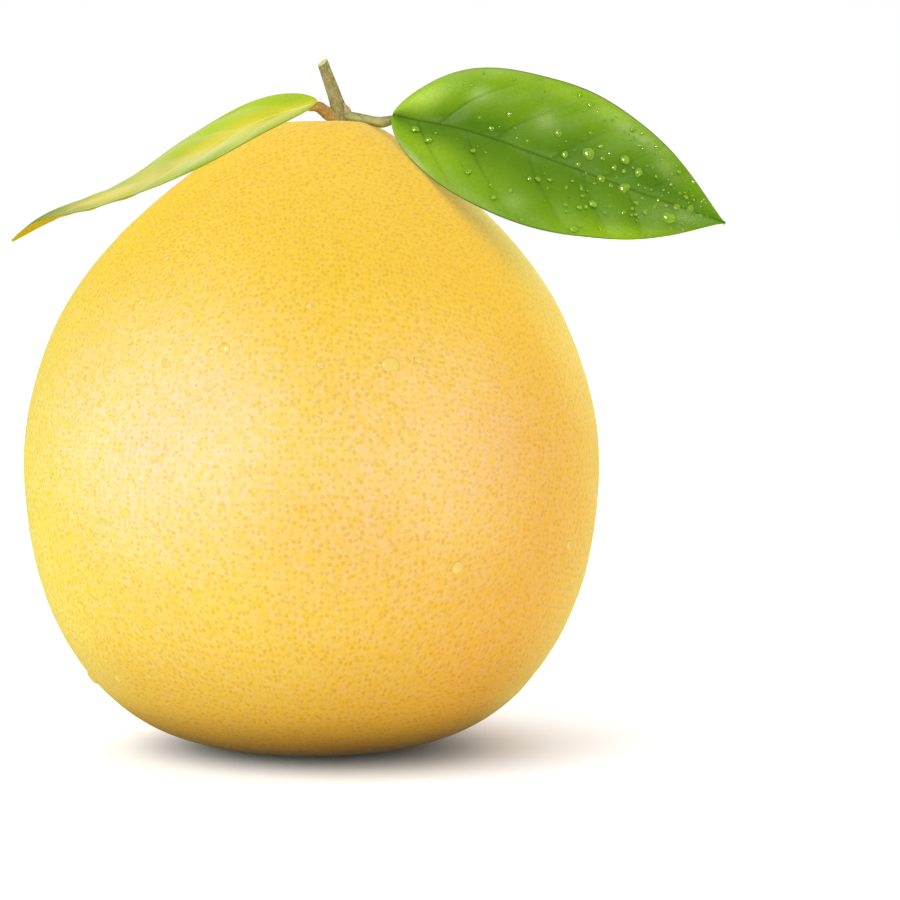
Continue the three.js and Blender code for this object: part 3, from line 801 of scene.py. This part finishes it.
def blade_surface(leaf, u, v):
    """The blade's middle surface at u along it and v across it, from -1 to 1."""
    forward = direction_along(leaf["midrib"], u)
    flat = unit(np.cross(forward, np.array([0.0, 0.0, 1.0])))
    up = np.cross(flat, forward)
    roll = np.radians(along(leaf["roll"], u))[..., None]
    side = flat * np.cos(roll) + up * np.sin(roll)
    normal = up * np.cos(roll) - flat * np.sin(roll)
    half_width = blade_half_width(leaf, u)
    fold = np.radians(along(leaf["fold"], u))
    spread = np.abs(v)
    lift = np.sin(fold) * np.maximum(spread - BLADE["flat_rib"], 0) - along(leaf["curl"], u) * spread ** 3
    wave = leaf["wave"]
    phase = 2 * math.pi * wave["count"] * u + wave["turn"] + BLADE["sides_out_of_step"] * np.sign(v)
    ripple = wave["size"] * spread ** 2 * np.sin(phase) * np.minimum(half_width / leaf["half_width"], 1)
    out = half_width * np.cos(fold) * v
    rise = half_width * lift + ripple
    return along(leaf["midrib"], u) + side * out[..., None] + normal * rise[..., None]


def blade_normal(leaf, u, v):
    """The blade's upward direction at u and v."""
    low = np.clip(u, NEARBY, 1 - NEARBY)
    forward = blade_surface(leaf, low + NEARBY, v) - blade_surface(leaf, low - NEARBY, v)
    across = blade_surface(leaf, low, v + NEARBY) - blade_surface(leaf, low, v - NEARBY)
    return unit(np.cross(across, forward))


def vein_lines(leaf, u, v):
    """How strongly a side vein shows at u and v, 0 to 1, and how far the nearest is."""
    out = np.abs(v) * blade_half_width(leaf, u)
    on = u * leaf["length"]
    shown = np.zeros_like(u)
    nearest = np.full_like(u, FAR)
    for starts, half in ((leaf["veins_low"], v > 0), (leaf["veins_high"], v <= 0)):
        for start in starts:
            line = start * leaf["length"] + SIDE_VEIN["slope"] * out + SIDE_VEIN["bend"] * out ** 2
            slope = SIDE_VEIN["slope"] + 2 * SIDE_VEIN["bend"] * out
            distance = np.where(half, np.abs(on - line) / np.sqrt(1 + slope ** 2), FAR)
            nearest = np.minimum(nearest, distance)
            fade = 1 - SIDE_VEIN["fade"] * smoothstep(*SIDE_VEIN["fading"], np.abs(v))
            shown = np.maximum(shown, fade * np.exp(-((distance / SIDE_VEIN["width"]) ** 2)))
    return shown, nearest


def patches(leaf, kind, u, v):
    """How strongly the leaf's soft patches of that kind show at u and v, 0 to 1."""
    shown = np.zeros_like(u)
    for at_u, at_v, along_u, across_v, strength in leaf[kind]:
        distance = ((u - at_u) / along_u) ** 2 + ((v - at_v) / across_v) ** 2
        shown = np.maximum(shown, strength * np.exp(-distance))
    return shown


def make_blade(name, leaf, upper, under, replaced):
    """A thin blade: veins sunk into its upper face, and standing out below."""
    columns, rows = BLADE["columns"], BLADE["rows"]
    even_v = np.linspace(-1, 1, columns + 1)
    spread_out = sum(share * np.abs(even_v) ** (k + 1) for k, share in enumerate(COLUMN_SPREAD))
    v_top = np.sign(even_v) * spread_out
    loop_v = np.concatenate([v_top, v_top[-2:0:-1]])
    loop_face = np.concatenate([np.ones(columns + 1), -np.ones(columns - 1)])
    sides = len(loop_v)
    row_u = np.linspace(0, 1, rows) ** BLADE["crowding"]
    u = np.repeat(row_u, sides)
    v = np.tile(loop_v, rows)
    face = np.tile(loop_face, rows)
    half_width = blade_half_width(leaf, u)
    out = np.abs(v) * half_width
    side_veins, nearest = vein_lines(leaf, u, v)
    inside = 1 - smoothstep(FLAT_MARGIN, 1.0, np.abs(v))
    body = np.sqrt(np.maximum(1 - np.abs(v) ** EDGE_ROUNDNESS, 0)) * BLADE["thickness"] / 2
    groove = RIB["groove"] * np.exp(-((out / RIB["groove_width"]) ** 2)) * (1 - RIB["groove_fade"] * u)
    ridge = (leaf["rib_depth"] * (1 - u) + RIB["at_tip"] * u) * np.exp(-((out / RIB["width"]) ** 2))
    quilt = QUILT["depth"] * np.exp(-((nearest / QUILT["width"]) ** 2)) * inside
    quilt = quilt * smoothstep(*QUILT["from_rib"], out) * np.minimum(half_width / QUILT["full_where"], 1)
    sunk = groove + SIDE_VEIN["depth"] * side_veins
    above = body - sunk * inside
    below = body + (ridge + SIDE_VEIN["depth"] * side_veins) * inside
    surface = blade_surface(leaf, u, v)
    crumple = sum(size * soft_noise(surface + shift, width) for shift, width, size in CRUMPLES) * inside
    offset = np.where(face > 0, above, -below) - quilt + crumple
    points = surface + blade_normal(leaf, u, v) * offset[:, None]
    points = np.concatenate([points, [surface[:sides].mean(axis=0)], [surface[-sides:].mean(axis=0)]])
    faces = [f[::-1] for f in tube_faces(rows, sides)]
    faces += fan_faces(0, sides, len(points) - 2, forward=True)
    faces += fan_faces((rows - 1) * sides, sides, len(points) - 1, forward=False)
    blade = make_piece(name, points, faces, [upper, under])
    below_side = np.tile(np.arange(sides) >= columns, rows - 1).astype(int)
    index = np.concatenate([below_side, np.ones(2 * sides, int)])
    blade.data.polygons.foreach_set("material_index", index.tolist())
    midrib = np.exp(-((out / RIB["line"]) ** 2)) * (1 - RIB["line_fade"] * u)
    side_lines = leaf["side_veins_show"] * side_veins * (1 - SIDE_VEIN["tip_fade"] * u)
    # The colour drifts to the tip colour over this stretch of the blade.
    begins, full = leaf["tipward_from"]
    painted = {
        "vein": np.maximum(midrib, side_lines),
        "rim": smoothstep(0.975, 1.0, np.abs(v)),
        "ageing": np.clip((u - begins) / (full - begins), 0, 1),
        "across": smoothstep(0.05, 0.75, np.abs(v)),
    }
    for kind, _ in LEAF_PATCHES:
        painted[kind] = patches(leaf, kind, u, v)
    for kind, shown in painted.items():
        paint(blade, kind, np.concatenate([shown, [0.0, 0.0]]))
    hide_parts(replaced)
    return blade


# ---- water drops ----


def drop_shape(centre, normal, radius, domed, chance):
    """One bead of water: a low dome with an uneven foot that is sunk into the surface."""
    tangent = unit(np.cross(normal, ACROSS_DROPS))
    other = np.cross(normal, tangent)
    bearings = 2 * math.pi * np.arange(DROP_ROUND) / DROP_ROUND
    turn, second = chance.uniform(0, 6.28), chance.uniform(0, 6.28)
    uneven = 1 + DROP_OVAL * np.cos(2 * bearings + turn) + DROP_THREE_SIDED * np.cos(3 * bearings + second)
    height = radius * domed * chance.uniform(*DROP_HEIGHTS)
    rings = []
    for k in range(DROP_RINGS):
        tilt = math.pi / 2 * k / DROP_RINGS
        r = radius * uneven * math.cos(tilt)
        rings.append(centre + np.outer(r * np.cos(bearings), tangent)
                     + np.outer(r * np.sin(bearings), other) + normal * height * math.sin(tilt))
    sink = normal * DROP_FOOT
    points = np.concatenate([rings[0] - sink] + rings + [[centre - sink], [centre + normal * height]])
    return points, closed_tube_faces(DROP_RINGS + 1, DROP_ROUND)


def make_drops(name, places, domed, seed, water):
    """Beads of water at (centre, normal, radius), in one piece. Domed is a bead's height
    as a share of its radius."""
    chance = random.Random(seed)
    points, faces, total = [], [], 0
    for centre, normal, radius in places:
        own_points, own_faces = drop_shape(centre, normal, radius, domed, chance)
        points.append(own_points)
        faces += [tuple(i + total for i in f) for f in own_faces]
        total += len(own_points)
    make_piece(name, np.concatenate(points), faces, [water])


def leaf_place(leaf, u, v, radius):
    u, v = np.array(u), np.array(v)
    normal = blade_normal(leaf, u, v)
    return blade_surface(leaf, u, v) + normal * BLADE["thickness"] / 2, normal, radius


def make_leaf_drops():
    """The large beads as listed, then small ones where there is room, more to the tip."""
    chance = random.Random(5)
    places = [leaf_place(LEAF_RIGHT, u, v, r) for u, v, r in LEAF_DROPS]
    tries = 0
    small = SMALL_DROPS
    while len(places) < small["count"] and tries < small["tries"]:
        tries += 1
        u = 1 - abs(chance.gauss(0, small["from_tip"]))
        v = chance.uniform(*small["across"])
        radius = small["radius"] + small["larger_by"] * chance.random() ** 2
        if not small["along"][0] < u < small["along"][1]:
            continue
        new = leaf_place(LEAF_RIGHT, u, v, radius)
        if all(np.linalg.norm(new[0] - p[0]) > small["room"] * (radius + p[2]) for p in places):
            places.append(new)
    water = clear_water("water_on_leaf", "#a4cc3c", 0.5)
    make_drops("leaf_drops", places, domed=0.5, seed=8, water=water)


def peel_place(height, bearing_degrees, radius):
    """The place on the skin at a height; the bearing runs from the front to the right."""
    latitudes = np.linspace(lowest_latitude(), math.pi / 2 - 0.3, 3000)
    latitude = np.interp(height, fruit_profile(latitudes)[1], latitudes)
    bearing = math.radians(bearing_degrees) - math.pi / 2
    here, up, right = (fruit_surface(np.array(a), np.array(b)) for a, b in (
        (latitude, bearing), (latitude + NEARBY, bearing), (latitude, bearing + NEARBY)))
    return here, unit(np.cross(right - here, up - here)), radius


def make_peel_drops():
    water = clear_water("water_on_peel", "#fcd970", 0.22)
    places = [peel_place(*drop) for drop in PEEL_DROPS]
    make_drops("peel_drops", places, domed=0.32, seed=3, water=water)


# ---- floor and light ----


def make_floor():
    corners = [(-1, -1), (1, -1), (1, 1), (-1, 1)]
    mesh = bpy.data.meshes.new("floor")
    mesh.from_pydata([(x * FLOOR_REACH, y * FLOOR_REACH, 0) for x, y in corners], [], [(0, 1, 2, 3)])
    mesh.materials.append(studio_paper())
    floor = place_object("floor", mesh)
    floor.visible_glossy = False
    return floor


def make_sun(name, towards, strength, angle, colour, in_gloss):
    """A softbox far away; towards is the way from the fruit to it. It either lights
    surfaces or shows in their gloss."""
    data = bpy.data.lights.new(name, "SUN")
    data.energy = strength
    data.angle = math.radians(angle)
    data.color = colour
    light = place_object(name, data)
    light.rotation_euler = Vector(towards).to_track_quat("Z", "Y").to_euler()
    light.visible_diffuse = not in_gloss
    light.visible_glossy = in_gloss
    light.visible_transmission = in_gloss
    return light


def collect(name, pieces):
    collection = bpy.data.collections.new(name)
    for piece in pieces:
        collection.objects.link(piece)
    return collection


def light_only(light, lit, blockers=None):
    """Lets that light fall on those pieces alone. With blockers, only they stop it."""
    light.light_linking.receiver_collection = collect(light.name + "_lit", lit)
    if blockers is not None:
        light.light_linking.blocker_collection = collect(light.name + "_blockers", blockers)


def make_gloss_cards():
    for *card_values, piece_names in GLOSS_CARDS:
        card = make_sun(*card_values, in_gloss=True)
        lit = [bpy.data.objects[piece_name] for piece_name in piece_names]
        light_only(card, lit, lit)


def make_light():
    """A white room that looks dim in a gloss, and broad softboxes."""
    world = bpy.data.worlds.new("white_backdrop")
    bpy.context.scene.world = world
    world.use_nodes = True
    tree = world.node_tree
    path = add(tree, "LightPath").outputs
    seen = add(tree, "Math", {"operation": "MULTIPLY_ADD", 1: 1 - ROOM_LIGHT, 2: ROOM_LIGHT},
               {0: path["Is Camera Ray"]})
    strength = add(tree, "Math", {"operation": "MULTIPLY_ADD", 1: ROOM_GLOSS - ROOM_LIGHT},
                   {0: path["Is Glossy Ray"], 2: seen})
    background = tree.nodes["Background"]
    background.inputs["Color"].default_value = (*WHITE, 1)
    tree.links.new(strength.outputs[0], background.inputs["Strength"])
    for softbox in SOFTBOXES:
        make_sun(*softbox, WHITE, in_gloss=False)
    for name in ("top_softbox", "backdrop"):
        bpy.data.objects[name].data.use_shadow = False
    bpy.context.scene.view_settings.view_transform = "Standard"


# ---- the pomelo ----

make_light()
floor = make_floor()
peel = make_peel()
light_only(make_sun(*FLOOR_WASH, in_gloss=False), [floor], [peel])
light_only(make_sun(*RIND_FILL, in_gloss=False), [peel], [peel])
rind_backdrop = make_sun(*RIND_BACKDROP, in_gloss=False)
rind_backdrop.data.use_shadow = False
light_only(rind_backdrop, [peel], [peel])
make_twig()
make_bud()

green_face, green_back, yellow_face, yellow_back = [leaf_face(*values) for values in LEAF_FACES]
green_stalk = woody_skin("green_stalk_skin", "#8e9246", "#adb06a", "#625c20", 0.5)
brown_stalk = woody_skin("brown_stalk_skin", "#a0761a", "#bf9640", "#745214", 0.7)

right_blade = make_blade("right_leaf_blade", LEAF_RIGHT, green_face, green_back, "leaf_right")
make_stalk("right_leaf_stalk", LEAF_RIGHT, green_stalk, 0.08)
left_blade = make_blade("left_leaf_blade", LEAF_LEFT, yellow_face, yellow_back, "leaf_left")
make_stalk("left_leaf_stalk", LEAF_LEFT, brown_stalk, 0.14)
make_leaf_drops()
make_peel_drops()
for blade in (right_blade, left_blade):
    blade.visible_shadow = False  # a thin blade lets much of the light through
left_blade.visible_diffuse = False  # and this one lies so close that it would dim the rind
make_gloss_cards()
the_rest = [piece for piece in bpy.context.scene.objects if piece.type == "MESH" and piece != peel]
light_only(bpy.data.objects["backdrop"], the_rest)
